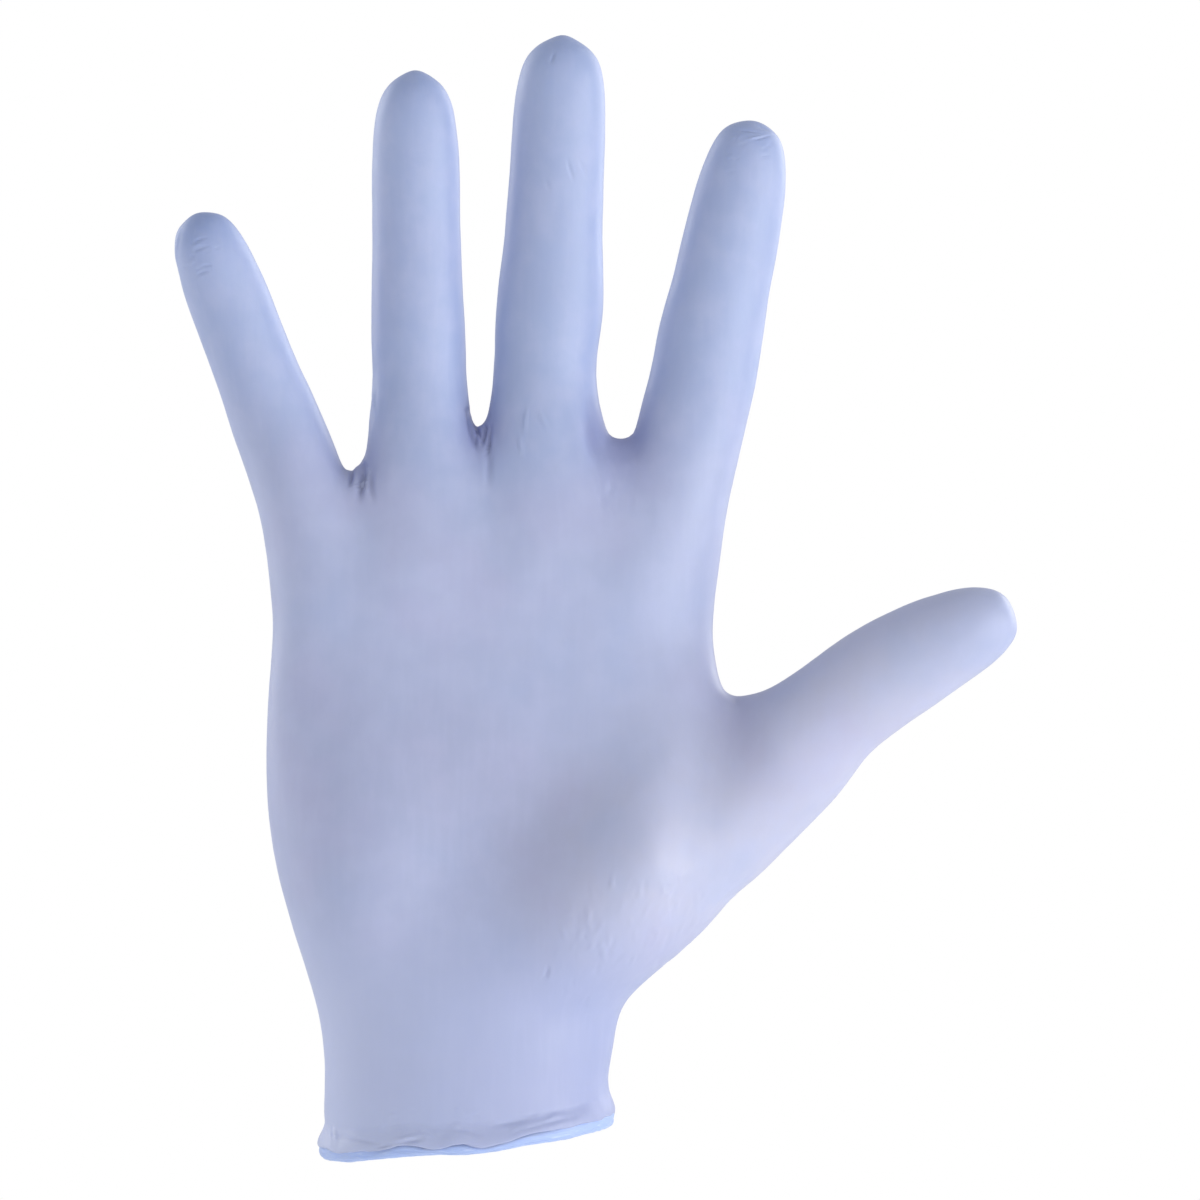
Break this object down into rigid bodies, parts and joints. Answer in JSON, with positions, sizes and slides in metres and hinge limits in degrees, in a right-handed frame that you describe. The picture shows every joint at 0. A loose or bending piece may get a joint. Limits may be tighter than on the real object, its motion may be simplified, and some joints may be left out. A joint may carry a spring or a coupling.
{
  "type": "examination glove",
  "caption": "Thin nitrile examination glove in its worn form: an open right hand with spread fingers, hollow, with a short cuff that ends in a rolled bead.",
  "frame": {"origin": "centre of the wrist opening, where the wearer's wrist goes in", "axes": "+Z from the wrist opening towards the fingertips, -Y out of the palm, +X towards the thumb's side"},
  "size_m": [0.1661, 0.0514, 0.2237],
  "materials": {
    "film": "satin",
    "bead": "satin"
  },
  "bodies": {
    "root": {"glove_film": "film", "cuff_bead": "bead"}
  },
  "joints": []
}
